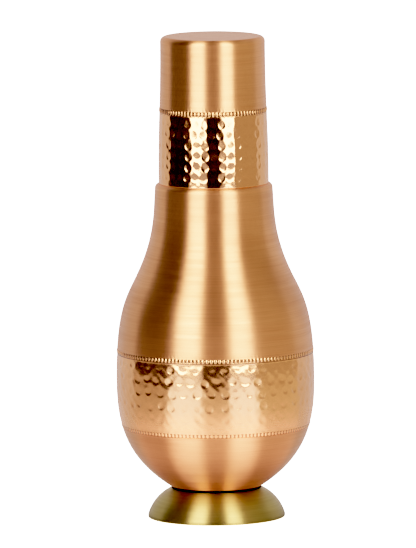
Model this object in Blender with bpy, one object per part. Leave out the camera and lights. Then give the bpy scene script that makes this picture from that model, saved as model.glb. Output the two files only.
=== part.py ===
"""Copper water jug: a spun copper bottle on a flared brass foot, closed by an upturned copper tumbler.

Every piece is turned about the jug's upright axis. Units are metres and +Z is up. The origin is the
centre of the foot's resting plane. Sections are closed outlines of (radius, height) points, listed down
the outer side and back up the inner side. Pieces that touch keep a gap of TOUCH to each other.
"""

import math

import bmesh
import bpy
from mathutils import Vector
from mathutils.geometry import interpolate_bezier

# Driving dimensions.
TOTAL_HEIGHT = 0.280
BELLY_RADIUS = 0.0574
BELLY_HEIGHT = 0.0800
SHOULDER_RADIUS = 0.0341
LEDGE_HEIGHT = 0.1948
WAIST_HEIGHT = 0.0527
MOUTH_RADIUS = 0.0265
NECK_RISE = 0.0480
TUMBLER_MOUTH_RADIUS = 0.0319
TUMBLER_BASE_RADIUS = 0.03035
FOOT_RADIUS = 0.0397

# Sheet thicknesses and clearances.
COPPER = 0.0010
TUMBLER_SHEET = 0.0008
BRASS = 0.0012
TOUCH = 0.0003

# Joints between the pieces.
LEDGE_HOLE_RADIUS = MOUTH_RADIUS + COPPER + TOUCH
LEDGE_COLLAR_DROP = 0.0045
SHOULDER_ROUND = 0.0027
LAP_RISE = 0.0060
JOGGLE_LENGTH = 0.0030
LIP_BEAD_RADIUS = 0.0014
TUMBLER_BASE_ROUND = 0.0030
FILLET = 0.0015

# The body's outline runs down as one smooth curve through these knots. Each is the radius, the height,
# the way the curve runs there in degrees (-90 is straight down), and the handles before and after it.
BODY_KNOTS = (
    (SHOULDER_RADIUS, LEDGE_HEIGHT - SHOULDER_ROUND, -85.5, 0, 0.0130),
    (0.04525, 0.1411, -64, 0.0254, 0.0149),
    (BELLY_RADIUS, BELLY_HEIGHT, -90, 0.0405, 0.0244),
    (0.0248, 0.0174, -148, 0.0315, 0.0060),
    (0.0110, 0.0125, -180, 0.0070, 0),
)

# The foot: a dome from its collar, which lies under the bowl, out to a hem on the ground.
FOOT_DOME_RADIUS = 0.0223
FOOT_DOME_CENTRE = (0.0182, -0.0036)
FOOT_DOME_DEGREES = (67, 15)
FOOT_COLLAR_HEIGHTS = (0.0176, 0.0152)
FOOT_HEM_RADIUS = 0.0355
FOOT_EDGE_CHAMFER = 0.0007

# Milled lines that border the hammered bands: low ridges pressed up from the sheet.
RIDGE_HEIGHT = 0.0004
RIDGE_HALF_WIDTH = 0.0011
BODY_RIDGE_HEIGHTS = (0.0979, 0.0541)
TUMBLER_RIDGE_HEIGHT = 0.2377

# Facets.
SEGMENTS = 48
CURVE_STEPS = 7
ROUND_STEPS = 3


def point(radius, height):
    return Vector((radius, height))


def direction(degrees):
    return Vector((math.cos(math.radians(degrees)), math.sin(math.radians(degrees))))


def arc(centre, radius, from_degrees, to_degrees, steps=ROUND_STEPS):
    turn = (to_degrees - from_degrees) / steps
    return [centre + radius * direction(from_degrees + turn * i) for i in range(steps + 1)]


def curve(knots):
    """Points along the smooth curve through knots of radius, height, degrees and two handle lengths."""
    line = []
    for start, end in zip(knots, knots[1:]):
        start_point = point(start[0], start[1])
        end_point = point(end[0], end[1])
        start_handle = start_point + start[4] * direction(start[2])
        end_handle = end_point - end[3] * direction(end[2])
        steps = CURVE_STEPS if (end_point - start_point).length > 0.02 else ROUND_STEPS
        stretch = interpolate_bezier(start_point, start_handle, end_handle, end_point, steps + 1)
        line = joined(line, [p.to_2d() for p in stretch])
    return line


def joined(*stretches):
    """One line from several, without the points that two neighbours share."""
    line = []
    for stretch in stretches:
        for p in stretch:
            if not line or (p - line[-1]).length > 1e-6:
                line.append(p)
    return line


def inside(line, distance):
    """The line moved inwards by distance. A line down the outer side moves towards the axis."""
    moved = []
    for i, p in enumerate(line):
        along = (line[min(i + 1, len(line) - 1)] - line[max(i - 1, 0)]).normalized()
        shifted = p + distance * Vector((along.y, -along.x))
        if p.x < 1e-9:
            shifted.x = 0.0
        moved.append(shifted)
    return moved


def radius_at(line, height):
    """The line's radius at a height, for a line whose heights fall steadily."""
    for upper, lower in zip(line, line[1:]):
        if lower.y <= height <= upper.y:
            share = (upper.y - height) / (upper.y - lower.y)
            return upper.x + share * (lower.x - upper.x)
    raise ValueError(f"the line has no point at height {height}")


def below(line, top):
    """The rest of a falling line below a height, with a point at that height."""
    return [point(radius_at(line, top), top)] + [p for p in line if p.y < top - 1e-6]


def above(line, bottom):
    """The start of a falling line above a height, with a point at that height."""
    return [p for p in line if p.y > bottom + 1e-6] + [point(radius_at(line, bottom), bottom)]


def ridged(line, height):
    """The line with a low rounded ridge standing out of it at a height."""
    top = height + RIDGE_HALF_WIDTH
    bottom = height - RIDGE_HALF_WIDTH
    crest = point(radius_at(line, height) + RIDGE_HEIGHT, height)
    return above(line, top) + [crest] + below(line, bottom)


def body_outline():
    """The bottle's outer side from the shoulder down to the middle of the bowl's flat end."""
    corner = point(SHOULDER_RADIUS - SHOULDER_ROUND, LEDGE_HEIGHT - SHOULDER_ROUND)
    side = curve(BODY_KNOTS)
    return joined(arc(corner, SHOULDER_ROUND, 90, 0), side, [point(0, side[-1].y)])


def tumbler_outline():
    """The tumbler's outer side from the middle of its closed end, which is up, down to its mouth."""
    mouth = LEDGE_HEIGHT + TOUCH
    top = TOTAL_HEIGHT - TUMBLER_BASE_ROUND
    edge = arc(point(TUMBLER_BASE_RADIUS - TUMBLER_BASE_ROUND, top), TUMBLER_BASE_ROUND, 90, 0)
    handle = (top - mouth) / 2
    side = curve(
        (
            (TUMBLER_BASE_RADIUS, top, -90, 0, handle),
            (TUMBLER_MOUTH_RADIUS, mouth, -90, handle, 0),
        )
    )
    return joined([point(0, TOTAL_HEIGHT)], edge, side)


def turned(name, section, material, origin_height=0.0):
    """A solid turned about the axis from a closed section, with its origin on the axis."""
    bm = bmesh.new()
    corners = [bm.verts.new((p.x, 0, p.y - origin_height)) for p in section]
    edges = [
        bm.edges.new((a, b))
        for a, b in zip(corners, corners[1:] + corners[:1])
        if a.co.x > 0 or b.co.x > 0
    ]
    bmesh.ops.spin(
        bm, geom=corners + edges, axis=(0, 0, 1), angle=math.tau, steps=SEGMENTS, use_merge=True
    )
    bmesh.ops.remove_doubles(bm, verts=bm.verts, dist=1e-6)
    bmesh.ops.recalc_face_normals(bm, faces=bm.faces)
    mesh = bpy.data.meshes.new(name)
    bm.to_mesh(mesh)
    bm.free()
    mesh.shade_smooth()
    mesh.set_sharp_from_angle(angle=math.radians(40))
    mesh.materials.append(material)
    piece = bpy.data.objects.new(name, mesh)
    piece.location.z = origin_height
    bpy.context.scene.collection.objects.link(piece)
    return piece


def metal(name, colour, roughness):
    material = bpy.data.materials.new(name)
    material.use_nodes = True
    shader = material.node_tree.nodes["Principled BSDF"]
    shader.inputs["Base Color"].default_value = (*colour, 1)
    shader.inputs["Metallic"].default_value = 1
    shader.inputs["Roughness"].default_value = roughness
    return material


def make_tumbler(material):
    """A drawn cup that stands upside down over the neck, with its mouth on the ledge."""
    outer = tumbler_outline()
    section = ridged(outer, TUMBLER_RIDGE_HEIGHT) + inside(outer, TUMBLER_SHEET)[::-1]
    return turned("tumbler", section, material, LEDGE_HEIGHT + TOUCH)


def make_upper_body(outline, material):
    """The spun shell from the shoulder's ledge, with its turned-down collar, to the waist seam."""
    collar_bottom = LEDGE_HEIGHT - LEDGE_COLLAR_DROP
    outer = above(outline, WAIST_HEIGHT + TOUCH / 2)
    inner = inside(outer, COPPER)
    for ridge in BODY_RIDGE_HEIGHTS:
        outer = ridged(outer, ridge)
    below_ledge = LEDGE_HEIGHT - COPPER
    shell_inner = [p for p in inner if p.y < below_ledge - COPPER / 2]
    section = (
        [point(LEDGE_HOLE_RADIUS, LEDGE_HEIGHT)]
        + outer
        + shell_inner[::-1]
        + [
            point(SHOULDER_RADIUS - SHOULDER_ROUND, below_ledge),
            point(LEDGE_HOLE_RADIUS + COPPER, below_ledge),
            point(LEDGE_HOLE_RADIUS + COPPER, collar_bottom),
            point(LEDGE_HOLE_RADIUS, collar_bottom),
        ]
    )
    return turned("upper_body", section, material, WAIST_HEIGHT)


def make_lower_bowl(outline, material):
    """The spun bowl, with a stepped-in lip that laps inside the upper body at the waist."""
    rim = WAIST_HEIGHT - TOUCH / 2
    lip_top = WAIST_HEIGHT + LAP_RISE
    lap = COPPER + TOUCH
    outer = below(outline, rim)
    lip_line = above(below(outline, lip_top), rim)
    lip_outer = inside(lip_line, lap)
    lip_inner = inside(lip_line, lap + COPPER)
    bowl_inner = [p for p in inside(outer, COPPER) if p.y < rim - JOGGLE_LENGTH]
    section = lip_outer + outer + bowl_inner[::-1] + lip_inner[::-1]
    return turned("lower_bowl", section, material)


def make_neck_tube(material):
    """The pouring neck: a tube held in the ledge's collar, with its lip rolled outwards."""
    outer_radius = MOUTH_RADIUS + COPPER
    top = LEDGE_HEIGHT + NECK_RISE
    bottom = LEDGE_HEIGHT - LEDGE_COLLAR_DROP
    bead_centre = point(outer_radius, top - LIP_BEAD_RADIUS)
    bead = arc(bead_centre, LIP_BEAD_RADIUS, 90, -90, 2 * ROUND_STEPS)
    section = (
        [point(MOUTH_RADIUS + COPPER / 2, top)]
        + bead
        + [
            point(outer_radius, bottom),
            point(MOUTH_RADIUS, bottom),
            point(MOUTH_RADIUS, top - COPPER / 2),
        ]
    )
    return turned("neck_tube", section, material, LEDGE_HEIGHT)


def under_bowl(outline, height):
    """The point at a height that is a touch below the bowl."""
    bowl_side = [p for p in inside(outline, -TOUCH) if p.y < WAIST_HEIGHT]
    return point(radius_at(bowl_side, height), height)


def make_foot(outline, material):
    """The flared brass ring: a collar soldered under the bowl, a domed flare and a turned-in hem."""
    collar_top, collar_end = (under_bowl(outline, height) for height in FOOT_COLLAR_HEIGHTS)
    centre = Vector(FOOT_DOME_CENTRE)
    upper, lower = FOOT_DOME_DEGREES
    section = (
        [collar_top]
        + arc(centre, FOOT_DOME_RADIUS, upper, lower, CURVE_STEPS)
        + [
            point(FOOT_RADIUS, FOOT_EDGE_CHAMFER),
            point(FOOT_RADIUS - FOOT_EDGE_CHAMFER, 0),
            point(FOOT_HEM_RADIUS, 0),
            point(FOOT_HEM_RADIUS, BRASS),
        ]
        + arc(centre, FOOT_DOME_RADIUS - BRASS, lower, upper, CURVE_STEPS)
        + [collar_end - point(0, BRASS), collar_end]
    )
    return turned("foot", section, material)


def make_neck_braze_ring(material):
    """The fillet of braze in the corner between the ledge and the neck tube."""
    inner = MOUTH_RADIUS + COPPER + TOUCH
    bottom = LEDGE_HEIGHT + TOUCH
    section = [point(inner, bottom + FILLET), point(inner + FILLET, bottom), point(inner, bottom)]
    return turned("neck_braze_ring", section, material, LEDGE_HEIGHT)


def make_waist_braze_ring(outline, material):
    """The fillet of braze above the bowl's lip, on the inner side of the upper body."""
    bottom = WAIST_HEIGHT + LAP_RISE + 2 * TOUCH
    wall = inside(above(below(outline, bottom + FILLET), bottom), COPPER + TOUCH)
    section = wall + [wall[-1] - point(FILLET / 2, 0)]
    return turned("waist_braze_ring", section, material, WAIST_HEIGHT)


def make_foot_solder_ring(outline, material):
    """The fillet of solder under the bowl, against the inner end of the foot's collar."""
    collar_end = under_bowl(outline, FOOT_COLLAR_HEIGHTS[1]) - point(TOUCH, 0)
    top = under_bowl(outline, collar_end.y - TOUCH)
    lower = collar_end - point(0, BRASS)
    section = [top, lower, under_bowl(outline, lower.y)]
    return turned("foot_solder_ring", section, material)


def main():
    for old in list(bpy.data.objects):
        bpy.data.objects.remove(old, do_unlink=True)

    copper = metal("copper", (0.85, 0.50, 0.30), 0.30)
    brass = metal("brass", (0.75, 0.60, 0.28), 0.32)
    silver_braze = metal("silver_braze", (0.80, 0.72, 0.58), 0.40)
    solder = metal("solder", (0.62, 0.62, 0.60), 0.45)

    outline = body_outline()
    jug = bpy.data.objects.new("jug", None)
    bpy.context.scene.collection.objects.link(jug)
    pieces = (
        make_tumbler(copper),
        make_neck_tube(copper),
        make_neck_braze_ring(silver_braze),
        make_upper_body(outline, copper),
        make_waist_braze_ring(outline, silver_braze),
        make_lower_bowl(outline, copper),
        make_foot_solder_ring(outline, solder),
        make_foot(outline, brass),
    )
    for piece in pieces:
        piece.parent = jug


main()
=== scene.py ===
"""Looks of the copper water jug: fine turned shells, hammered bands, milled lines and brushed metal.

Every piece stands for one CAD node and keeps within about a millimetre and a half of its outline. The
overall radii and heights are read from the frame. Units are metres and +Z is up. The front is -Y.
"""

import math
import random
from collections import namedtuple

import bpy
import numpy as np
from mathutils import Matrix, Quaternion, Vector
from mathutils.geometry import interpolate_bezier


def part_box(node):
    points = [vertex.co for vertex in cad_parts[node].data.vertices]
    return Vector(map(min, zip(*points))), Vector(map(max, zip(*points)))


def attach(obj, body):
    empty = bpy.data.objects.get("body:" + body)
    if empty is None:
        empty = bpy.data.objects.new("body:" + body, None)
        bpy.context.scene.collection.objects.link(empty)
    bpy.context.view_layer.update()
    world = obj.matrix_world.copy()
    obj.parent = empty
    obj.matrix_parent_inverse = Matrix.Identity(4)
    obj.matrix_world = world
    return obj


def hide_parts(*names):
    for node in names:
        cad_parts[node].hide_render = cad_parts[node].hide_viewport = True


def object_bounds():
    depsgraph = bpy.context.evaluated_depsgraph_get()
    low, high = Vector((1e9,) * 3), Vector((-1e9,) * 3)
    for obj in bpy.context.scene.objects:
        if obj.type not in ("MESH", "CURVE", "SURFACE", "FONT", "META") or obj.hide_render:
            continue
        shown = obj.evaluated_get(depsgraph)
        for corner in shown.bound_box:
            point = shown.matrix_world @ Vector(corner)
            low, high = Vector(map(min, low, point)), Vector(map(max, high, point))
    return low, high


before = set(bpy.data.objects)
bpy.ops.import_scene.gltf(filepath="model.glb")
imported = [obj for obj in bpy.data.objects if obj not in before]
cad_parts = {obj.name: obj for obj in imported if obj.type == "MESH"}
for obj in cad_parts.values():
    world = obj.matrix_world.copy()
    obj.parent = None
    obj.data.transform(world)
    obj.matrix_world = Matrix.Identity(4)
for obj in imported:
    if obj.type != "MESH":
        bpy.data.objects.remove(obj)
cad_low, cad_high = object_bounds()

MM = 0.001
JUST = 1e-6

# Radii and heights from the CAD nodes.
body_low, body_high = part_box("upper_body")
bowl_low, bowl_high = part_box("lower_bowl")
neck_low, neck_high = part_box("neck_tube")
tumbler_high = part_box("tumbler")[1]
foot_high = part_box("foot")[1]

BELLY_RADIUS = body_high.x
LEDGE = body_high.z
WAIST = body_low.z
BOWL_FLAT = bowl_low.z
LIP_TOP = bowl_high.z
NECK_TOP, NECK_BOTTOM = neck_high.z, neck_low.z
TOP = tumbler_high.z
MOUTH_RADIUS = tumbler_high.x
FOOT_RADIUS = foot_high.x

# Sheet thicknesses, and the small roundings and gaps at the edges of the sheet.
COPPER = 1.0 * MM
TUMBLER_SHEET = 0.8 * MM
BRASS = 1.2 * MM
EDGE_ROUND = 0.25 * MM
CONTACT = 0.05 * MM
SEAM_HALF = 0.02 * MM
LAP_GAP = 0.15 * MM

# The neck, the ledge round it and the tumbler that stands over it.
NECK_RADIUS = 27.5 * MM
LIP_BEAD = neck_high.x - NECK_RADIUS
THROAT_ROUND = 1.2 * MM
SHOULDER_RADIUS = 34.1 * MM
SHOULDER_ROUND = 2.7 * MM
LEDGE_HOLE = 27.8 * MM
TUMBLER_BASE_RADIUS = 30.35 * MM
TUMBLER_BASE_ROUND = 3.0 * MM
DISC_RINGS = (0, 9 * MM, 18 * MM, 25 * MM, 27.1 * MM)

# The body's outline: radius, height, direction in degrees, and the handles before and after the knot.
BODY_KNOTS = (
    (SHOULDER_RADIUS, LEDGE - SHOULDER_ROUND, -85.5, 0, 13.0 * MM),
    (45.25 * MM, 141.1 * MM, -64, 25.4 * MM, 14.9 * MM),
    (BELLY_RADIUS, 80.0 * MM, -90, 40.5 * MM, 25.3 * MM),
    (25.1 * MM, 17.4 * MM, -148, 32.3 * MM, 6.0 * MM),
    (11.0 * MM, BOWL_FLAT, -180, 7.0 * MM, 0),
)
FLAT_RING = 6 * MM

# The foot: its dome's arc, the hem rolled in under it, the heights where it touches the bowl, and the
# groove between the bowl and the dome's upper edge, from the inside out. The groove is painted near
# black as painted shade, and the height after the groove is how far that painted shade reaches up the
# bowl.
FOOT_DOME_CENTRE = (16.5 * MM, -5.2 * MM)
FOOT_DOME_RADIUS = 24.2 * MM
FOOT_DOME_ARC = (67, 16.2)
FOOT_INNER_ARC = (17.5, 60)
FOOT_SIDE = (0.55 * MM, 0.4 * MM)
FOOT_CORNER = 0.2 * MM
FOOT_HEM_RADIUS = 35.5 * MM
FOOT_HEM_ROUND = 0.6 * MM
FOOT_TOUCH = (14.9 * MM, 15.9 * MM)
FOOT_GAP = 0.12 * MM
FOOT_GROOVE = (
    (24.6 * MM, 15.8 * MM),
    (25.10 * MM, 16.5 * MM),
    (25.35 * MM, 16.95 * MM),
    (25.65 * MM, 17.08 * MM),
)
PAINTED_SHADE_TOP = 18.6 * MM

# Milled lines: the height of the middle of each row of beads, half the row's height, how far its beads
# stand out, and how many there are.
MilledLine = namedtuple("MilledLine", "height half relief beads")
TUMBLER_LINE = MilledLine(237.7 * MM, 1.5 * MM, 0.34 * MM, 90)
UPPER_LINE = MilledLine(97.9 * MM, 1.2 * MM, 0.228 * MM, 154)
LOWER_LINE = MilledLine(54.1 * MM, 1.2 * MM, 0.168 * MM, 146)
# A bead's half width as a share of the pitch, its height as a share of the row's, and the depth of the
# groove that it stands in as a share of its relief.
BEAD_WIDTH = 0.37
BEAD_HEIGHT = 0.9
GROOVE_SHARE = 0.25

# A dent is a flat face in the round sheet, deeper towards its lower end, inside an oval rim. SLANT is
# how much deeper, and a larger FACE_SHARE makes a larger face and a steeper rim.
Dent = namedtuple("Dent", "angle height half_width half_height depth")
SLANT = 1.1
FACE_SHARE = 1.8
# How much the dents differ: aside as a share of their spacing, up and down, in size and in depth.
DENT_ASIDE = 0.16
DENT_RISE = 0.9 * MM
DENT_SIZES = (0.85, 1.12)
DENT_DEPTHS = (0.6, 1.15)
# The first row of dents below its milled line, the spacing of the rows, and how deep each is struck.
CUP_DENT_ROWS = (5.6 * MM, 6.2 * MM, (0.8, 1, 1, 1, 1, 0.9))
BODY_DENT_ROWS = (4.9 * MM, 7.3 * MM, (0.9, 1, 1, 1, 0.5, 0.2))
# The dips that the milling wheel leaves beside its lines: height, half width and depth.
BODY_DIPS = (
    (UPPER_LINE.height - 2.6 * MM, 1.3 * MM, 0.10 * MM),
    (LOWER_LINE.height + 2.4 * MM, 1.2 * MM, 0.05 * MM),
)
FILLET_RIPPLE = 0.10 * MM

# Columns of each turned mesh, and the spacing of its rows.
BODY_COLUMNS = 312
TUMBLER_COLUMNS = 288
NECK_COLUMNS = 240
FOOT_COLUMNS = 360
FILLET_COLUMNS = 240
SMOOTH_STEP = 2.4 * MM
INNER_STEP = 3 * MM
BAND_STEP = 0.62 * MM
CUP_BAND_STEP = 0.5 * MM
BEAD_STEP = 0.27 * MM
SHARP_ANGLE = math.radians(50)

# Finishes: places in a piece's list of materials.
BRUSHED, POLISHED, INSIDE, MILLED, DISC = range(5)
# Painted shade: the bowl's lowest band and the foot's groove take a near-black material.
BOWL_PAINTED_SHADE = 4
FOOT_PAINTED_SHADE = 3

# The studio tent that the metal mirrors, by azimuth: 0 is towards the camera and positive is to its
# right. The softboxes hang in front of the two ICE sectors.
GREY = (1.0, 1.0, 1.0)
COOL = (0.94, 1.0, 1.12)
ICE = (1.0, 1.12, 1.35)
SAND = (1.02, 1.03, 0.94)
WARM = (1.0, 0.92, 0.93)
ROSE = (1.0, 0.85, 0.92)
Sector = namedtuple("Sector", "start end tint near_tint low_wall high_wall far_table near_table")
SECTORS = (
    Sector(-180, -152, WARM, COOL, 0.80, 0.80, 0.72, 0.64),
    Sector(-152, -106, COOL, COOL, 0.86, 0.60, 0.80, 0.70),
    Sector(-106, -53, GREY, ROSE, 0.056, 0.066, 0.62, 1.03),
    Sector(-53, -15, ICE, ROSE, 0.65, 0.60, 1.90, 2.80),
    Sector(-15, 15, GREY, ROSE, 0.056, 0.97, 0.82, 1.60),
    Sector(15, 48, ICE, ROSE, 0.65, 0.60, 1.90, 2.80),
    Sector(48, 107, SAND, ROSE, 0.56, 0.66, 0.76, 1.15),
    Sector(107, 152, COOL, COOL, 0.86, 0.60, 0.80, 0.70),
    Sector(152, 180, WARM, COOL, 0.80, 0.80, 0.72, 0.64),
)
TENT_COLUMNS = 240
TENT_RADIUS = 1.5
TENT_HEIGHT = 2.4
TENT_FLOOR = 0.0004
TABLE_EDGE = 0.78
TABLE_RINGS = (0.030, 0.042, 0.06, 0.075, 0.09, 0.12, 0.16, 0.20, 0.26, 0.34, 0.5, TABLE_EDGE)
FLOOR_RINGS = (TABLE_EDGE + 0.06, 0.9, TENT_RADIUS)
WALL_HEIGHTS = (0.3, 0.6, 0.95, 1.3, 1.8, TENT_HEIGHT)
# Where the wall goes from its low tone to its high one, where the table goes from near to far, and how
# the jug shades the table round its foot.
WALL_CHANGE = (0.95, 1.3)
TABLE_CHANGE = (0.16, 0.27)
SHADE_RADII, SHADE_TONES = (0.042, 0.06, 0.085), (0.1, 0.5, 1)
ROOM_ABOVE = (0.22, 0.21, 0.20)

# Tall lit panels: name and the azimuths that they fill, and the place and light of both.
SOFTBOXES = (("left_softbox", -48, -19), ("right_softbox", 19.5, 44.5))
SOFTBOX_DISTANCE = 1.3
SOFTBOX_BOTTOM, SOFTBOX_TOP = 0.065, 2.4
SOFTBOX_RADIANCE = 5.4
SOFTBOX_COLOUR = (1.0, 0.98, 0.95)

# The camera's tone: light up to SHOULDER is kept, brighter light is rolled off, full white is reached at
# FULL_LIGHT, and what is darker than BLACK_LEVEL turns black.
SHOULDER = 0.3
FULL_LIGHT = 4.0
BLACK_LEVEL = 0.06
TONE_STEPS = 16

CAMERA_LENS = 681
CAMERA_ELEVATION = math.radians(7.3)
CAMERA_DISTANCE = 6.0
CAMERA_TARGET = Vector((-3.78 * MM, 0, 141.5 * MM))
CAMERA_ROLL = math.radians(-0.52)
FLOOR_SIZE = 30.0


# ---------------------------------------------------------------- outlines


def direction(degrees):
    return Vector((math.cos(math.radians(degrees)), math.sin(math.radians(degrees))))


def curve(knots, steps=120):
    """Points (radius, height) along the smooth curve through the knots."""
    line = []
    for start, end in zip(knots, knots[1:]):
        a, b = Vector(start[:2]), Vector(end[:2])
        stretch = interpolate_bezier(
            a, a + start[4] * direction(start[2]), b - end[3] * direction(end[2]), b, steps
        )
        line += [p[:2] for p in (stretch if end is knots[-1] else stretch[:-1])]
    return np.array(line)


def arc(centre, radius, from_degrees, to_degrees, steps=8):
    angles = np.radians(np.linspace(from_degrees, to_degrees, steps + 1))
    return np.column_stack([centre[0] + radius * np.cos(angles), centre[1] + radius * np.sin(angles)])


def joined(*stretches):
    """One line from several, without points that repeat."""
    points = np.concatenate([np.asarray(s, float).reshape(-1, 2) for s in stretches])
    keep = np.append(True, np.linalg.norm(np.diff(points, axis=0), axis=1) > 1e-7)
    return points[keep]


def inside(line, distance):
    """The line moved towards the axis by distance, for a line down an outer side."""
    along = np.gradient(line, axis=0)
    along /= np.linalg.norm(along, axis=1)[:, None]
    moved = line + distance * np.column_stack([along[:, 1], -along[:, 0]])
    moved[line[:, 0] < 1e-9, 0] = 0
    return moved


def radius_at(line, height):
    return float(np.interp(-height, -line[:, 1], line[:, 0]))


def between(line, top, bottom):
    """The stretch of a falling line from one height to another."""
    middle = line[(line[:, 1] < top - 1e-7) & (line[:, 1] > bottom + 1e-7)]
    return joined([(radius_at(line, top), top)], middle, [(radius_at(line, bottom), bottom)])


def spaced(line, step):
    """The line with its points at an even spacing of about step."""
    line = np.asarray(line, float)
    length = np.append(0, np.cumsum(np.linalg.norm(np.diff(line, axis=0), axis=1)))
    at = np.linspace(0, length[-1], max(2, round(length[-1] / step) + 1))
    return np.column_stack([np.interp(at, length, line[:, 0]), np.interp(at, length, line[:, 1])])


def body_outline():
    corner = (SHOULDER_RADIUS - SHOULDER_ROUND, LEDGE - SHOULDER_ROUND)
    return joined(arc(corner, SHOULDER_ROUND, 90, 0), curve(BODY_KNOTS), [(0, BOWL_FLAT)])


def tumbler_outline():
    mouth = LEDGE + CONTACT
    edge_height = TOP - TUMBLER_BASE_ROUND
    centre = (TUMBLER_BASE_RADIUS - TUMBLER_BASE_ROUND, edge_height)
    edge = arc(centre, TUMBLER_BASE_ROUND, 90, 0)
    handle = (edge_height - mouth) / 2
    top_knot = (TUMBLER_BASE_RADIUS, edge_height, -90, 0, handle)
    mouth_knot = (MOUTH_RADIUS, mouth, -90, handle, 0)
    return joined([(0, TOP)], edge, curve((top_knot, mouth_knot)))


# ---------------------------------------------------------------- relief


def dent_rows(line, layout):
    """The height and strength of each row of dents below a milled line."""
    first, spacing, strengths = layout
    return [(line.height - (first + spacing * i), strength) for i, strength in enumerate(strengths)]


def hammer_marks(seed, rows_of_dents, count, half_width, half_height, depth, jitter):
    """Dents in rows of count around the axis. jitter is how far they stray from an even pattern."""
    draw = random.Random(seed)
    dents = []
    for height, strength in rows_of_dents:
        start = draw.uniform(0, 1)
        for i in range(count):
            place = i + start * jitter + draw.uniform(-DENT_ASIDE, DENT_ASIDE) * jitter
            dents.append(
                Dent(
                    angle=math.tau * place / count,
                    height=height + draw.uniform(-DENT_RISE, DENT_RISE) * jitter,
                    half_width=half_width * draw.uniform(*DENT_SIZES),
                    half_height=half_height * draw.uniform(*DENT_SIZES),
                    depth=depth * strength * draw.uniform(*DENT_DEPTHS),
                )
            )
    return dents


def hammered(dents, radius, seed, waviness, dips=()):
    """A relief of dents, with the slow unevenness that hammering leaves in the sheet."""
    draw = random.Random(seed)
    waves = [
        (draw.randint(9, 70), draw.uniform(-1100, 1100), draw.uniform(0, math.tau)) for _ in range(16)
    ]

    def relief(angles, height):
        depth = np.zeros_like(angles)
        for dent in dents:
            if abs(height - dent.height) < dent.half_height:
                turn = (angles - dent.angle + math.pi) % math.tau - math.pi
                across = turn * radius / dent.half_width
                up = (height - dent.height) / dent.half_height
                rim = np.clip(FACE_SHARE * (1 - across**2 - up**2), 0, 1)
                round_of_sheet = dent.half_width**2 / (2 * radius) * across**2
                depth = np.maximum(depth, rim * (dent.depth * (1 - SLANT * up) - round_of_sheet))
        wave = sum(np.sin(k * angles + f * height + phase) for k, f, phase in waves)
        swell = np.minimum(0, wave / math.sqrt(len(waves) / 2) - 1.5)
        dip = sum(deep * math.exp(-(((height - at) / half) ** 2)) for at, half, deep in dips)
        return waviness * swell - depth - dip

    return relief


def milled(line):
    """A row of upright oval beads in a shallow groove."""
    pitch = math.tau / line.beads

    def relief(angles, height):
        up = (height - line.height) / line.half
        across = (angles / pitch % 1 - 0.5) / BEAD_WIDTH
        bead = np.sqrt(np.maximum(0, 1 - across**2 - (up / BEAD_HEIGHT) ** 2))
        groove = GROOVE_SHARE * line.relief * min(1.0, 4 * max(0.0, 1 - abs(up)))
        return line.relief * bead - groove

    return relief


def uneven(seed, height_of_waves):
    """The slight unevenness of a spun sheet, nearly all of it inwards."""
    draw = random.Random(seed)
    waves = [(draw.randint(2, 9), draw.uniform(30, 160), draw.uniform(0, math.tau)) for _ in range(8)]

    def relief(angles, height):
        wave = sum(np.sin(k * angles + f * height + phase) for k, f, phase in waves)
        return height_of_waves * (wave / len(waves) - 0.6)

    return relief


# ---------------------------------------------------------------- meshes

Row = namedtuple("Row", "radius height columns finish relief")


def rows(line, columns, finish, relief=None):
    """One row of vertices for each point of a line, and the finish of the faces below it."""
    return [Row(p[0], p[1], columns, finish, relief) for p in line]


def bridge(upper, lower):
    """Faces between two rows of vertex numbers. One row may have a whole multiple of the other's."""
    few, many = (upper, lower) if len(upper) <= len(lower) else (lower, upper)
    if len(many) == 1:
        return []
    ratio = len(many) // len(few)
    faces = []
    if len(few) == 1:
        faces = [(few[0], many[i], many[(i + 1) % len(many)]) for i in range(len(many))]
    elif ratio == 1:
        n = len(few)
        faces = [(few[i], many[i], many[(i + 1) % n], few[(i + 1) % n]) for i in range(n)]
    else:
        for i, a in enumerate(few):
            b = few[(i + 1) % len(few)]
            fan = [many[(i * ratio + k) % len(many)] for k in range(ratio + 1)]
            middle = ratio // 2
            faces += [(a, p, q) for p, q in zip(fan[:middle], fan[1 : middle + 1])]
            faces.append((a, fan[middle], b))
            faces += [(b, p, q) for p, q in zip(fan[middle:-1], fan[middle + 1 :])]
    turned_over = few is lower
    return [face[::-1] for face in faces] if turned_over else faces


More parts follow.
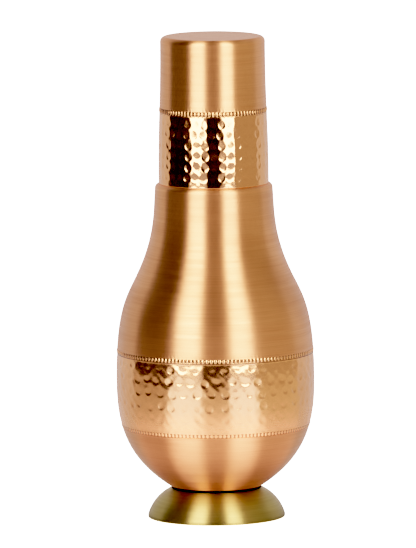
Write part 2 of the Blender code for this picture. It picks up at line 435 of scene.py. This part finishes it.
def turned(name, line_rows, materials, closed):
    """A piece turned about the axis from rows of vertices, which go down the outer side first."""
    outline = np.array([row[:2] for row in line_rows])
    if closed:
        along = np.roll(outline, -1, axis=0) - np.roll(outline, 1, axis=0)
    else:
        along = np.gradient(outline, axis=0)
    along /= np.maximum(np.linalg.norm(along, axis=1), 1e-12)[:, None]
    normals = np.column_stack([-along[:, 1], along[:, 0]])

    points, numbers, recess = [], [], []
    first = 0
    for row, normal in zip(line_rows, normals):
        count = 1 if row.radius < 1e-9 else row.columns
        angles = np.arange(count) * math.tau / count
        lift = row.relief(angles, row.height) if row.relief else np.zeros(count)
        radii = row.radius + lift * normal[0]
        heights = np.full(count, row.height) + lift * normal[1]
        points.append(np.column_stack([radii * np.cos(angles), radii * np.sin(angles), heights]))
        recess.append(-lift / MM)
        numbers.append(list(range(first, first + count)))
        first += count

    faces, finishes = [], []
    pairs = list(zip(range(len(line_rows)), range(1, len(line_rows))))
    if closed:
        pairs.append((len(line_rows) - 1, 0))
    for upper, lower in pairs:
        made = bridge(numbers[upper], numbers[lower])
        faces += made
        finishes += [line_rows[upper].finish] * len(made)

    mesh = bpy.data.meshes.new(name)
    mesh.from_pydata(np.concatenate(points).tolist(), [], faces)
    mesh.polygons.foreach_set("material_index", finishes)
    mesh.attributes.new("recess", "FLOAT", "POINT").data.foreach_set(
        "value", np.concatenate(recess).astype(np.float32)
    )
    for material in materials:
        mesh.materials.append(material)
    mesh.shade_smooth()
    mesh.set_sharp_from_angle(angle=SHARP_ANGLE)
    mesh.update()
    piece = bpy.data.objects.new(name, mesh)
    bpy.context.scene.collection.objects.link(piece)
    return piece


# ---------------------------------------------------------------- materials


class Nodes:
    """Adds nodes to a material and links their inputs by name or by place."""

    def __init__(self, name):
        self.material = bpy.data.materials.new(name)
        self.material.use_nodes = True
        self.tree = self.material.node_tree
        self.shader = self.tree.nodes["Principled BSDF"]

    def add(self, kind, settings=None, **inputs):
        """Adds a node. An input named _0 is its first socket, _1 its second, and so on."""
        node = self.tree.nodes.new(kind)
        for key, value in (settings or {}).items():
            setattr(node, key, value)
        for key, value in inputs.items():
            self.set(node, int(key[1:]) if key[0] == "_" else key, value)
        return node

    def set(self, node, key, value):
        socket = node.inputs[key]
        if isinstance(value, bpy.types.NodeSocket):
            self.tree.links.new(value, socket)
        elif isinstance(value, bpy.types.Node):
            self.tree.links.new(value.outputs[0], socket)
        else:
            socket.default_value = value

    def maths(self, operation, *values):
        inputs = {f"_{i}": v for i, v in enumerate(values)}
        return self.add("ShaderNodeMath", {"operation": operation}, **inputs)

    def noise(self, vector, scale, detail=2.0, roughness=0.5):
        node = self.add("ShaderNodeTexNoise")
        for key, value in (
            ("Vector", vector),
            ("Scale", scale),
            ("Detail", detail),
            ("Roughness", roughness),
        ):
            self.set(node, key, value)
        return node.outputs["Fac"]

    def spread(self, value, low, high, to_low, to_high):
        node = self.add("ShaderNodeMapRange")
        for key, given in enumerate((value, low, high, to_low, to_high)):
            self.set(node, key, given)
        return node.outputs["Result"]

    def mix(self, factor, a, b):
        node = self.add("ShaderNodeMix", {"data_type": "RGBA", "blend_type": "MIX"})
        for key, value in ((0, factor), (6, a), (7, b)):
            self.set(node, key, value)
        return node.outputs[2]

    def bump(self, height, distance, strength, under=None):
        node = self.add("ShaderNodeBump")
        self.set(node, "Height", height)
        self.set(node, "Distance", distance)
        self.set(node, "Strength", strength)
        if under is not None:
            self.set(node, "Normal", under)
        return node.outputs["Normal"]

    def turned_coordinates(self, around, across):
        """Coordinates for marks that run round the axis: long around it, and fine across the section."""
        split = self.add("ShaderNodeSeparateXYZ", None, _0=self.place())
        x, y, z = split.outputs
        squares = self.maths("ADD", self.maths("MULTIPLY", x, x), self.maths("MULTIPLY", y, y))
        radius = self.maths("SQRT", squares)
        section = self.maths("ADD", z, self.maths("MULTIPLY", radius, 0.5))
        return self.add(
            "ShaderNodeCombineXYZ",
            None,
            _0=self.maths("MULTIPLY", x, around),
            _1=self.maths("MULTIPLY", y, around),
            _2=self.maths("MULTIPLY", section, across),
        )

    def place(self):
        return self.add("ShaderNodeTexCoord").outputs["Object"]

    def attribute(self, name):
        return self.add("ShaderNodeAttribute", {"attribute_name": name}).outputs["Fac"]


def dark_of(colour, share):
    return (colour[0] * share, colour[1] * share * 0.92, colour[2] * share * 0.85, 1)


def brushed_metal(name, colour, roughness, anisotropy, patina=0.16):
    """Sheet metal brushed while it turned: fine scratches round the axis and highlights along it."""
    n = Nodes(name)
    fine = n.noise(n.turned_coordinates(30, 3600), 1.0, 4.0, 0.65)
    bands = n.noise(n.turned_coordinates(6, 420), 1.0, 3.0, 0.55)
    blotches = n.noise(n.place(), 34.0, 3.0, 0.6)
    streaks = n.noise(n.turned_coordinates(26, 1500), 1.0, 2.0, 0.5)
    tint = n.mix(n.spread(blotches, 0.35, 0.75, 0.0, patina), (*colour, 1), dark_of(colour, 0.72))
    tint = n.mix(n.spread(fine, 0.3, 0.75, 0.0, 0.4), tint, dark_of(colour, 0.70))
    tint = n.mix(n.spread(streaks, 0.45, 0.75, 0.0, 0.35), tint, dark_of(colour, 0.76))
    # Painted shade: the colour darkens where the sheet lies deeper, in grooves and hollows.
    groove = n.spread(n.attribute("recess"), 0.0, 0.12, 0.0, 0.55)
    n.set(n.shader, "Base Color", n.mix(groove, tint, dark_of(colour, 0.35)))
    rough = n.maths(
        "ADD",
        n.spread(bands, 0.3, 0.7, roughness - 0.035, roughness + 0.045),
        n.spread(fine, 0.3, 0.7, -0.03, 0.03),
    )
    n.set(n.shader, "Roughness", rough)
    n.set(n.shader, "Metallic", 1.0)
    n.set(n.shader, "Anisotropic", anisotropy)
    n.set(n.shader, "Anisotropic Rotation", 0.25)
    tangent = n.add("ShaderNodeTangent", {"direction_type": "RADIAL", "axis": "Z"})
    n.set(n.shader, "Tangent", tangent)
    waves = n.bump(bands, 0.03 * MM, 0.4)
    n.set(n.shader, "Normal", n.bump(fine, 0.012 * MM, 0.6, waves))
    return n.material


def milled_metal(name, colour, roughness, gap_shade):
    """Milled beads: bright crests, with painted shade darkening the gaps."""
    n = Nodes(name)
    haze = n.noise(n.place(), 500.0, 3.0, 0.6)
    # Painted shade: the colour darkens in the gaps between the beads.
    shaded_gap = n.spread(n.attribute("recess"), 0.0, 0.05, 0.0, 1.0)
    tint = n.mix(n.spread(haze, 0.35, 0.75, 0.0, 0.3), (*colour, 1), dark_of(colour, 0.8))
    n.set(n.shader, "Base Color", n.mix(shaded_gap, tint, dark_of(colour, gap_shade)))
    n.set(n.shader, "Roughness", n.spread(haze, 0.3, 0.7, roughness - 0.04, roughness + 0.08))
    n.set(n.shader, "Metallic", 1.0)
    n.set(n.shader, "Normal", n.bump(haze, 0.02 * MM, 0.4))
    return n.material


def polished_metal(name, colour, roughness, in_dents, hazy_below):
    """Hammered and polished sheet: bright, and hazier in the dents.

    hazy_below gives two heights, and how much rougher the sheet is at the lower one.
    """
    n = Nodes(name)
    ripples = n.noise(n.place(), 420.0, 2.0, 0.5)
    haze = n.noise(n.place(), 60.0, 4.0, 0.6)
    scratches = n.noise(n.turned_coordinates(60, 1500), 1.0, 3.0, 0.6)
    tint = n.mix(n.spread(haze, 0.4, 0.75, 0.0, 0.30), (*colour, 1), dark_of(colour, 0.82))
    # Painted shade: the colour darkens in the dents and hollows.
    groove = n.spread(n.attribute("recess"), 0.02, 0.30, 0.0, 0.22)
    n.set(n.shader, "Base Color", n.mix(groove, tint, dark_of(colour, 0.6)))
    height = n.add("ShaderNodeSeparateXYZ", None, _0=n.place()).outputs["Z"]
    bottom, top, more = hazy_below
    rough = n.maths(
        "ADD",
        n.spread(haze, 0.35, 0.7, roughness - 0.02, roughness + 0.05),
        n.spread(scratches, 0.35, 0.7, -0.01, 0.02),
    )
    rough = n.maths("ADD", rough, n.spread(n.attribute("recess"), 0.02, 0.14, 0.0, in_dents))
    rough = n.maths("ADD", rough, n.spread(height, bottom, top, more, 0.0))
    n.set(n.shader, "Roughness", rough)
    n.set(n.shader, "Metallic", 1.0)
    first = n.bump(ripples, 0.03 * MM, 0.25)
    n.set(n.shader, "Normal", n.bump(scratches, 0.004 * MM, 0.4, first))
    return n.material


def dull_metal(name, colour, roughness, stain):
    """Metal as the spinning tool left it, dulled and stained by water."""
    n = Nodes(name)
    rings = n.noise(n.turned_coordinates(10, 900), 1.0, 3.0, 0.6)
    stains = n.noise(n.place(), 55.0, 5.0, 0.65)
    tint = n.mix(n.spread(stains, 0.35, 0.7, 0.0, 1.0), (*colour, 1), (*stain, 1))
    ringed = n.mix(n.spread(rings, 0.3, 0.7, 0.0, 0.3), tint, dark_of(colour, 0.6))
    n.set(n.shader, "Base Color", ringed)
    n.set(n.shader, "Roughness", n.spread(stains, 0.3, 0.7, roughness - 0.06, roughness + 0.12))
    n.set(n.shader, "Metallic", 1.0)
    n.set(n.shader, "Normal", n.bump(rings, 0.03 * MM, 0.5))
    return n.material


def cast_fillet(name, colour, roughness):
    """Braze or solder as it froze: rippled, with flux-dulled patches."""
    n = Nodes(name)
    ripples = n.noise(n.place(), 700.0, 3.0, 0.55)
    patches = n.noise(n.place(), 160.0, 4.0, 0.6)
    tint = n.mix(n.spread(patches, 0.4, 0.7, 0.0, 0.7), (*colour, 1), dark_of(colour, 0.55))
    n.set(n.shader, "Base Color", tint)
    n.set(n.shader, "Roughness", n.spread(patches, 0.3, 0.7, roughness - 0.08, roughness + 0.15))
    n.set(n.shader, "Metallic", 1.0)
    n.set(n.shader, "Normal", n.bump(ripples, 0.15 * MM, 0.6))
    return n.material


# ---------------------------------------------------------------- pieces


def rounded_rim(outer_end, inner_start, columns, finish):
    """The rows of a sheet's edge between its outer and inner corner, rounded by an arc."""
    a, b = np.array(outer_end), np.array(inner_start)
    middle, half = (a + b) / 2, (b - a) / 2
    out = np.array([half[1], -half[0]]) * 0.6
    angles = np.radians((36, 72, 108, 144))
    points = [middle - half * math.cos(t) - out * math.sin(t) for t in angles]
    return rows(points, columns, finish)


def make_tumbler(metals):
    outer = tumbler_outline()
    inner = inside(outer, TUMBLER_SHEET)
    mouth = outer[-1][1]
    edge_bottom = TOP - TUMBLER_BASE_ROUND
    line_top = TUMBLER_LINE.height + TUMBLER_LINE.half
    line_bottom = TUMBLER_LINE.height - TUMBLER_LINE.half
    n = TUMBLER_COLUMNS
    radius = radius_at(outer, LEDGE + 20 * MM)
    dents = hammer_marks(
        seed=11,
        rows_of_dents=dent_rows(TUMBLER_LINE, CUP_DENT_ROWS),
        count=39,
        half_width=2.60 * MM,
        half_height=2.95 * MM,
        depth=0.125 * MM,
        jitter=0.45,
    )

    edge = between(outer, TOP - JUST, edge_bottom)
    plain = spaced(between(outer, edge[-1][1] - MM, line_top), SMOOTH_STEP)
    beads = spaced(between(outer, line_top - BEAD_STEP, line_bottom), BEAD_STEP)
    band = spaced(between(outer, line_bottom - BAND_STEP, mouth + 0.6 * MM), CUP_BAND_STEP)
    line_rows = rows([(ring, TOP) for ring in DISC_RINGS], n, DISC)
    line_rows += rows(edge, n, BRUSHED)
    line_rows += rows(plain, n, BRUSHED, uneven(13, 0.03 * MM))
    line_rows += rows(beads, 4 * n, MILLED, milled(TUMBLER_LINE))
    line_rows += rows(band, 2 * n, POLISHED, hammered(dents, radius, 12, 0.012 * MM))
    line_rows += rows([outer[-1]], 2 * n, POLISHED)
    line_rows += rounded_rim(outer[-1], inner[-1], n, INSIDE)

    up = inner[::-1]
    side = spaced(up[up[:, 1] < edge_bottom], INNER_STEP)
    inner_edge = up[(up[:, 1] >= edge_bottom) & (up[:, 0] > 20 * MM)]
    inner_disc = [(ring, TOP - TUMBLER_SHEET) for ring in (20 * MM, 10 * MM, 0)]
    for line in (side, inner_edge, inner_disc):
        line_rows += rows(line, n, INSIDE)
    return turned("tumbler_cup", line_rows, metals, closed=False)


def make_upper_body(outline, metals):
    """The shell from the ledge down to the waist, and the collar that holds the neck."""
    n = BODY_COLUMNS
    seam = WAIST + SEAM_HALF
    upper_top = UPPER_LINE.height + UPPER_LINE.half
    upper_bottom = UPPER_LINE.height - UPPER_LINE.half
    lower_top = LOWER_LINE.height + LOWER_LINE.half
    dents = hammer_marks(
        seed=21,
        rows_of_dents=dent_rows(UPPER_LINE, BODY_DENT_ROWS),
        count=46,
        half_width=2.60 * MM,
        half_height=2.50 * MM,
        depth=0.13 * MM,
        jitter=1.0,
    )
    band_relief = hammered(dents, BELLY_RADIUS, 22, 0.024 * MM, BODY_DIPS)

    ledge_start = (LEDGE_HOLE + EDGE_ROUND, LEDGE)
    ledge_end = (SHOULDER_RADIUS - SHOULDER_ROUND, LEDGE)
    ledge = joined([(LEDGE_HOLE, LEDGE - EDGE_ROUND)], spaced([ledge_start, ledge_end], 0.9 * MM))
    corner_bottom = LEDGE - SHOULDER_ROUND
    corner = between(outline, LEDGE - JUST, corner_bottom)
    plain = spaced(between(outline, corner_bottom - MM, upper_top), SMOOTH_STEP)
    upper_beads = spaced(between(outline, upper_top - BEAD_STEP, upper_bottom), BEAD_STEP)
    band = spaced(between(outline, upper_bottom - BAND_STEP, lower_top + BAND_STEP), BAND_STEP)
    lower_beads = spaced(between(outline, lower_top, seam + EDGE_ROUND), BEAD_STEP)
    line_rows = rows(joined(ledge, corner), n, BRUSHED)
    line_rows += rows(plain, n, BRUSHED, uneven(23, 0.05 * MM))
    line_rows += rows(upper_beads, 4 * n, MILLED, milled(UPPER_LINE))
    line_rows += rows(band, 2 * n, POLISHED, band_relief)
    line_rows += rows(lower_beads, 4 * n, MILLED, milled(LOWER_LINE))
    line_rows += rows([(radius_at(outline, seam) - EDGE_ROUND / 2, seam)], n, BRUSHED)

    under = LEDGE - COPPER
    inner_side = between(inside(outline, COPPER), under - 1.2 * MM, seam)
    outer_radius = LEDGE_HOLE + COPPER
    collar = [
        (SHOULDER_RADIUS - SHOULDER_ROUND, under),
        (outer_radius + EDGE_ROUND, under),
        (outer_radius, under - EDGE_ROUND),
        (outer_radius, NECK_BOTTOM + EDGE_ROUND),
        (outer_radius - EDGE_ROUND, NECK_BOTTOM),
        (LEDGE_HOLE + EDGE_ROUND, NECK_BOTTOM),
        (LEDGE_HOLE, NECK_BOTTOM + EDGE_ROUND),
    ]
    line_rows += rows(spaced(inner_side[::-1], INNER_STEP), n, INSIDE) + rows(collar, n, INSIDE)
    return turned("bottle_shell", line_rows, metals, closed=True)


def make_lower_bowl(outline, metals):
    """The bowl, with a lip that laps inside the upper body."""
    n = BODY_COLUMNS
    rim = WAIST - SEAM_HALF
    outer = between(outline, rim, BOWL_FLAT + JUST)
    lip = spaced(between(outline, LIP_TOP, rim), 1.2 * MM)
    lip_outer = inside(lip, COPPER + LAP_GAP)
    lip_inner = inside(lip, COPPER + LAP_GAP + COPPER)
    step = [(outer[0][0] - EDGE_ROUND, rim + EDGE_ROUND), tuple(outer[0])]
    # Painted shade: below the given height the bowl takes the near-black material, for the shade of the
    # groove round the foot.
    clean = spaced(between(outer, rim - 0.1 * MM, PAINTED_SHADE_TOP), 1.8 * MM)
    in_painted_shade = spaced(between(outer, PAINTED_SHADE_TOP - 0.05 * MM, BOWL_FLAT + JUST), 1.5 * MM)
    line_rows = rows(lip_outer, n, INSIDE) + rows(step, n, BRUSHED)
    line_rows += rows(clean, n, BRUSHED, uneven(33, 0.03 * MM))
    line_rows += rows(in_painted_shade, n, BOWL_PAINTED_SHADE)
    line_rows += rows([(FLAT_RING, BOWL_FLAT), (0, BOWL_FLAT)], n, BOWL_PAINTED_SHADE)

    inner_flat = BOWL_FLAT + COPPER
    inner = inside(outline, COPPER)
    upward = inner[inner[:, 1] < rim - 3 * MM][::-1]
    inner_side = spaced(upward[upward[:, 0] > 8 * MM], 2.5 * MM)
    line_rows += rows([(0, inner_flat), (FLAT_RING, inner_flat)], n, INSIDE)
    line_rows += rows(inner_side, n, INSIDE) + rows(lip_inner[::-1], n, INSIDE)
    return turned("bottle_bowl", line_rows, metals, closed=True)


def make_neck(metals):
    """The neck tube with its rolled lip."""
    n = NECK_COLUMNS
    bore = NECK_RADIUS - COPPER
    start, end = NECK_BOTTOM + EDGE_ROUND, NECK_TOP - THROAT_ROUND
    bead = arc((NECK_RADIUS, NECK_TOP - LIP_BEAD), LIP_BEAD, 100, -80, 14)
    outer = spaced([(NECK_RADIUS, NECK_TOP - 2.3 * LIP_BEAD), (NECK_RADIUS, start)], 2.5 * MM)
    foot_edge = [(NECK_RADIUS - EDGE_ROUND, NECK_BOTTOM), (bore + EDGE_ROUND, NECK_BOTTOM)]
    inner = spaced([(bore, start), (bore, end)], 2.5 * MM)
    throat = arc((bore + THROAT_ROUND, end), THROAT_ROUND, 180, 105, 6)
    line_rows = rows(bead, n, BRUSHED) + rows(outer, n, BRUSHED, uneven(43, 0.02 * MM))
    line_rows += rows(foot_edge, n, INSIDE) + rows(inner, n, INSIDE) + rows(throat, n, BRUSHED)
    return turned("bottle_neck", line_rows, metals, closed=True)


def make_foot(outline, metals):
    """The flared foot. A groove runs round between its upper edge and the bowl, painted near black as
    painted shade.
    """
    n = FOOT_COLUMNS
    dome = arc(FOOT_DOME_CENTRE, FOOT_DOME_RADIUS, *FOOT_DOME_ARC, 36)
    dome = dome[dome[:, 0] < FOOT_RADIUS]
    side = [(FOOT_RADIUS, height) for height in FOOT_SIDE]
    corner = arc((FOOT_RADIUS - FOOT_CORNER, FOOT_CORNER), FOOT_CORNER, 0, -90, 4)
    hem_centre = (FOOT_HEM_RADIUS + FOOT_HEM_ROUND, FOOT_HEM_ROUND)
    hem = joined(
        arc(hem_centre, FOOT_HEM_ROUND, -90, -270, 10), [(FOOT_HEM_RADIUS + 2.0 * MM, BRASS)]
    )
    inner_dome = arc(FOOT_DOME_CENTRE, FOOT_DOME_RADIUS - BRASS, *FOOT_INNER_ARC, 24)
    under = inside(outline, -FOOT_GAP)
    touch = [(radius_at(under, height), height) for height in FOOT_TOUCH]
    inner_end = (touch[0][0] + EDGE_ROUND, touch[0][1] - BRASS)
    groove_start = (touch[1][0] + 0.8 * MM, touch[1][1] - 0.5 * MM)
    line_rows = rows(dome, n, BRUSHED, uneven(53, 0.03 * MM))
    line_rows += rows(side, n, BRUSHED) + rows(corner, n, BRUSHED)
    line_rows += rows(hem, n, INSIDE) + rows(inner_dome, n, INSIDE)
    # Painted shade: the groove's rows take the near-black material.
    line_rows += rows([inner_end, *touch, groove_start, *FOOT_GROOVE], n, FOOT_PAINTED_SHADE)
    return turned("brass_foot", line_rows, metals, closed=True)


def make_fillet(name, corner, outward, upward, size, seed, material):
    """A ring of braze or solder that fills a corner. outward and upward are +1 or -1."""
    draw = random.Random(seed)
    waves = [(draw.randint(3, 40), draw.uniform(0, math.tau)) for _ in range(7)]

    def relief(angles, height):
        wave = sum(np.sin(k * angles + phase) for k, phase in waves)
        return FILLET_RIPPLE * wave / len(waves)

    r, z = corner
    hollow = [
        (r + outward * size * (1 - math.sin(t)), z + upward * size * (1 - math.cos(t)))
        for t in np.radians(np.linspace(12, 78, 7))
    ]
    section = [(r, z + upward * size), *hollow[::-1], (r + outward * size, z), (r, z)]
    if outward * upward < 0:
        section = section[::-1]
    rippled = range(1, len(section) - 2)
    line_rows = [
        Row(*point, FILLET_COLUMNS, 0, relief if i in rippled else None)
        for i, point in enumerate(section)
    ]
    return turned(name, line_rows, [material], closed=True)


# ---------------------------------------------------------------- studio


def around(azimuth, distance, height):
    """A place round the jug. Azimuth 0 is towards the camera and positive is to its right."""
    a = math.radians(azimuth)
    return Vector((distance * math.sin(a), -distance * math.cos(a), height))


def make_softbox(name, from_azimuth, to_azimuth):
    """A tall lit panel that fills the stretch between two azimuths, seen from the jug."""
    middle, half = (from_azimuth + to_azimuth) / 2, math.radians(to_azimuth - from_azimuth) / 2
    light = bpy.data.lights.new(name, "AREA")
    light.shape = "RECTANGLE"
    light.size = 2 * SOFTBOX_DISTANCE * math.tan(half)
    light.size_y = SOFTBOX_TOP - SOFTBOX_BOTTOM
    light.energy = SOFTBOX_RADIANCE * math.pi * light.size * light.size_y
    light.color = SOFTBOX_COLOUR
    lamp = bpy.data.objects.new(name, light)
    bpy.context.scene.collection.objects.link(lamp)
    place = around(middle, SOFTBOX_DISTANCE, (SOFTBOX_TOP + SOFTBOX_BOTTOM) / 2)
    lamp.location = place
    lamp.rotation_mode = "QUATERNION"
    lamp.rotation_quaternion = (Vector((0, 0, place.z)) - place).to_track_quat("-Z", "Y")
    lamp.visible_camera = False


def by_azimuth(field, blend):
    """A function that gives a field of SECTORS at any azimuth, blended over so many degrees."""
    at, values = [], []
    for sector in SECTORS:
        at += [sector.start + blend / 2, sector.end - blend / 2]
        values += [np.atleast_1d(getattr(sector, field))] * 2
    channels = np.array(values, float).T
    return lambda azimuth: np.array([np.interp(azimuth, at, channel) for channel in channels])


def tent_material():
    """Glows with the colours in the mesh's tone attribute."""
    material = bpy.data.materials.new("tent")
    material.use_nodes = True
    tree = material.node_tree
    tree.nodes.clear()
    tone = tree.nodes.new("ShaderNodeAttribute")
    tone.attribute_name = "tone"
    glow = tree.nodes.new("ShaderNodeEmission")
    end = tree.nodes.new("ShaderNodeOutputMaterial")
    tree.links.new(tone.outputs["Color"], glow.inputs["Color"])
    tree.links.new(glow.outputs[0], end.inputs[0])
    return material


def make_tent():
    """A ring of table, floor and wall round the jug that only shows in reflections."""
    low, high = by_azimuth("low_wall", 2), by_azimuth("high_wall", 6)
    far, near = by_azimuth("far_table", 6), by_azimuth("near_table", 12)
    tint, near_tint = by_azimuth("tint", 6), by_azimuth("near_tint", 12)

    def wall_tone(azimuth, height):
        share = float(np.interp(height, WALL_CHANGE, (0, 1)))
        return ((1 - share) * low(azimuth) + share * high(azimuth)) * tint(azimuth)

    def table_tone(azimuth, radius):
        share = float(np.interp(radius, TABLE_CHANGE, (0, 1)))
        tone = (1 - share) * near(azimuth) * near_tint(azimuth) + share * far(azimuth) * tint(azimuth)
        return tone * float(np.interp(radius, SHADE_RADII, SHADE_TONES))

    columns = TENT_COLUMNS
    spots = [(radius, TENT_FLOOR) for radius in TABLE_RINGS + FLOOR_RINGS]
    spots += [(TENT_RADIUS, height) for height in WALL_HEIGHTS]
    points, tones = [], []
    for radius, height in spots:
        for i in range(columns):
            azimuth = -180 + 360 * i / columns
            points.append(around(azimuth, radius, height))
            on_table = radius <= TABLE_EDGE
            tone = table_tone(azimuth, radius) if on_table else wall_tone(azimuth, height)
            tones += [*tone, 1]
    faces = []
    for start in range(0, columns * (len(spots) - 1), columns):
        for i in range(columns):
            a, b = start + i, start + (i + 1) % columns
            faces.append((a, b, b + columns, a + columns))
    mesh = bpy.data.meshes.new("tent")
    mesh.from_pydata(points, [], faces)
    mesh.attributes.new("tone", "FLOAT_COLOR", "POINT").data.foreach_set("color", tones)
    mesh.materials.append(tent_material())
    tent = bpy.data.objects.new("tent", mesh)
    bpy.context.scene.collection.objects.link(tent)
    for visibility in ("camera", "diffuse", "transmission", "volume_scatter", "shadow"):
        setattr(tent, f"visible_{visibility}", False)


def make_world():
    """White behind the jug, and in reflections a room that is dim above the tent."""
    world = bpy.data.worlds.new("studio")
    bpy.context.scene.world = world
    world.use_nodes = True
    tree = world.node_tree
    tree.nodes.clear()
    new, link = tree.nodes.new, tree.links.new
    room = new("ShaderNodeBackground")
    room.inputs[0].default_value = (*ROOM_ABOVE, 1)
    white = new("ShaderNodeBackground")
    white.inputs[0].default_value = (1.2 * FULL_LIGHT, 1.2 * FULL_LIGHT, 1.2 * FULL_LIGHT, 1)
    rays = new("ShaderNodeLightPath")
    mix = new("ShaderNodeMixShader")
    link(rays.outputs["Is Camera Ray"], mix.inputs[0])
    link(room.outputs[0], mix.inputs[1])
    link(white.outputs[0], mix.inputs[2])
    end = new("ShaderNodeOutputWorld")
    link(mix.outputs[0], end.inputs[0])


def make_floor():
    """A white floor that glows, so that hardly any shadow shows on it."""
    mesh = bpy.data.meshes.new("floor")
    corners = [(-1, -1), (1, -1), (1, 1), (-1, 1)]
    mesh.from_pydata([(x * FLOOR_SIZE, y * FLOOR_SIZE, 0) for x, y in corners], [], [(0, 1, 2, 3)])
    material = bpy.data.materials.new("floor")
    material.use_nodes = True
    shader = material.node_tree.nodes["Principled BSDF"]
    shader.inputs["Base Color"].default_value = (0.9, 0.9, 0.9, 1)
    shader.inputs["Roughness"].default_value = 0.9
    shader.inputs["Emission Color"].default_value = (1, 1, 1, 1)
    shader.inputs["Emission Strength"].default_value = FULL_LIGHT
    mesh.materials.append(material)
    floor = bpy.data.objects.new("floor", mesh)
    floor.location.z = cad_low.z
    bpy.context.scene.collection.objects.link(floor)


def make_camera():
    data = bpy.data.cameras.new("camera")
    data.sensor_width = 36
    data.lens = CAMERA_LENS
    camera = bpy.data.objects.new("camera", data)
    bpy.context.scene.collection.objects.link(camera)
    towards = Vector((0, -math.cos(CAMERA_ELEVATION), math.sin(CAMERA_ELEVATION)))
    eye = CAMERA_TARGET + CAMERA_DISTANCE * towards
    camera.location = eye
    camera.rotation_mode = "QUATERNION"
    roll = Quaternion((0, 0, 1), CAMERA_ROLL)
    camera.rotation_quaternion = (CAMERA_TARGET - eye).to_track_quat("-Z", "Y") @ roll
    bpy.context.scene.camera = camera


def photographic(light):
    """The tone from 0 to 1 that the camera gives to light."""
    rolled = 1 - (1 - SHOULDER) * math.exp((SHOULDER - light) / (1 - SHOULDER))
    tone = light if light < SHOULDER else rolled
    return max(0.0, (tone - BLACK_LEVEL) / (1 - BLACK_LEVEL))


def set_tone():
    """The camera's tone as a curve over light from 0 to FULL_LIGHT."""
    settings = bpy.context.scene.view_settings
    settings.view_transform = "Standard"
    settings.use_curve_mapping = True
    mapping = settings.curve_mapping
    mapping.white_level = (FULL_LIGHT, FULL_LIGHT, FULL_LIGHT)
    rolled = [SHOULDER * (FULL_LIGHT / SHOULDER) ** (k / TONE_STEPS) for k in range(TONE_STEPS)]
    points = mapping.curves[3].points
    for light in [BLACK_LEVEL] + rolled:
        points.new(light / FULL_LIGHT, photographic(light))
    for point in points:
        point.handle_type = "VECTOR"
    mapping.update()


def make_studio():
    make_camera()
    make_world()
    make_floor()
    make_tent()
    for name, from_azimuth, to_azimuth in SOFTBOXES:
        make_softbox(name, from_azimuth, to_azimuth)
    set_tone()


# ---------------------------------------------------------------- the jug


def make_bottle_and_tumbler():
    """Every piece, with the body that it rides on, the CAD node it replaces and its material slot."""
    copper = (0.93, 0.45, 0.225)
    brushed = brushed_metal("brushed_copper", copper, 0.38, 0.97)
    cup_band = polished_metal("cup_band_copper", copper, 0.06, 0.06, (0.190, 0.194, 0.0))
    body_band = polished_metal("body_band_copper", copper, 0.125, 0.03, (0.056, 0.080, 0.14))
    beads = milled_metal("milled_copper", copper, 0.20, 0.26)
    cup_beads = milled_metal("cup_milled_copper", copper, 0.20, 0.15)
    # Painted sheen: the tumbler's top disc gets a paler copper than the rest, for its grazing
    # reflection.
    disc = brushed_metal("disc_copper", (0.96, 0.61, 0.44), 0.42, 0.0)
    inner = dull_metal("inner_copper", (0.75, 0.42, 0.26), 0.36, (0.42, 0.22, 0.13))
    brushed_brass = brushed_metal("brushed_brass", (0.55, 0.41, 0.165), 0.38, 0.95)
    inner_brass = dull_metal("inner_brass", (0.50, 0.38, 0.18), 0.42, (0.30, 0.22, 0.11))
    braze = cast_fillet("silver_braze", (0.80, 0.70, 0.52), 0.30)
    solder = cast_fillet("soft_solder", (0.58, 0.57, 0.55), 0.38)
    # Painted shade, near black, for the groove round the foot and the bowl just above it.
    groove_shade = dull_metal("painted_groove_shade", (0.10, 0.075, 0.035), 0.55, (0.04, 0.03, 0.015))
    coppers = [brushed, body_band, inner, beads]
    cup_coppers = [brushed, cup_band, inner, cup_beads, disc]
    brasses = [brushed_brass, brushed_brass, inner_brass, groove_shade]

    outline = body_outline()
    cup = make_tumbler(cup_coppers)
    shell = make_upper_body(outline, coppers)
    bowl = make_lower_bowl(outline, coppers + [groove_shade])
    neck = make_neck(coppers)
    foot = make_foot(outline, brasses)

    ledge_corner = (NECK_RADIUS, LEDGE)
    lip_corner = (radius_at(inside(outline, COPPER), LIP_TOP), LIP_TOP)
    under_bowl = inside(outline, -0.05 * MM)
    foot_corner = (radius_at(under_bowl, 15.0 * MM) - 0.1 * MM, 15.0 * MM)
    neck_braze = make_fillet("neck_braze", ledge_corner, 1, 1, 1.5 * MM, 61, braze)
    waist_braze = make_fillet("waist_braze", lip_corner, -1, 1, 1.1 * MM, 62, braze)
    foot_solder = make_fillet("foot_solder", foot_corner, -1, -1, 0.9 * MM, 63, solder)
    return (
        (cup, "tumbler", "tumbler", "copper"),
        (shell, "bottle", "upper_body", "copper"),
        (bowl, "bottle", "lower_bowl", "copper"),
        (neck, "bottle", "neck_tube", "copper"),
        (foot, "bottle", "foot", "brass"),
        (neck_braze, "bottle", "neck_braze_ring", "silver_braze"),
        (waist_braze, "bottle", "waist_braze_ring", "silver_braze"),
        (foot_solder, "bottle", "foot_solder_ring", "solder"),
    )


def main():
    make_studio()
    for piece, body, node, slot in make_bottle_and_tumbler():
        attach(piece, body)
        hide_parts(node)


main()
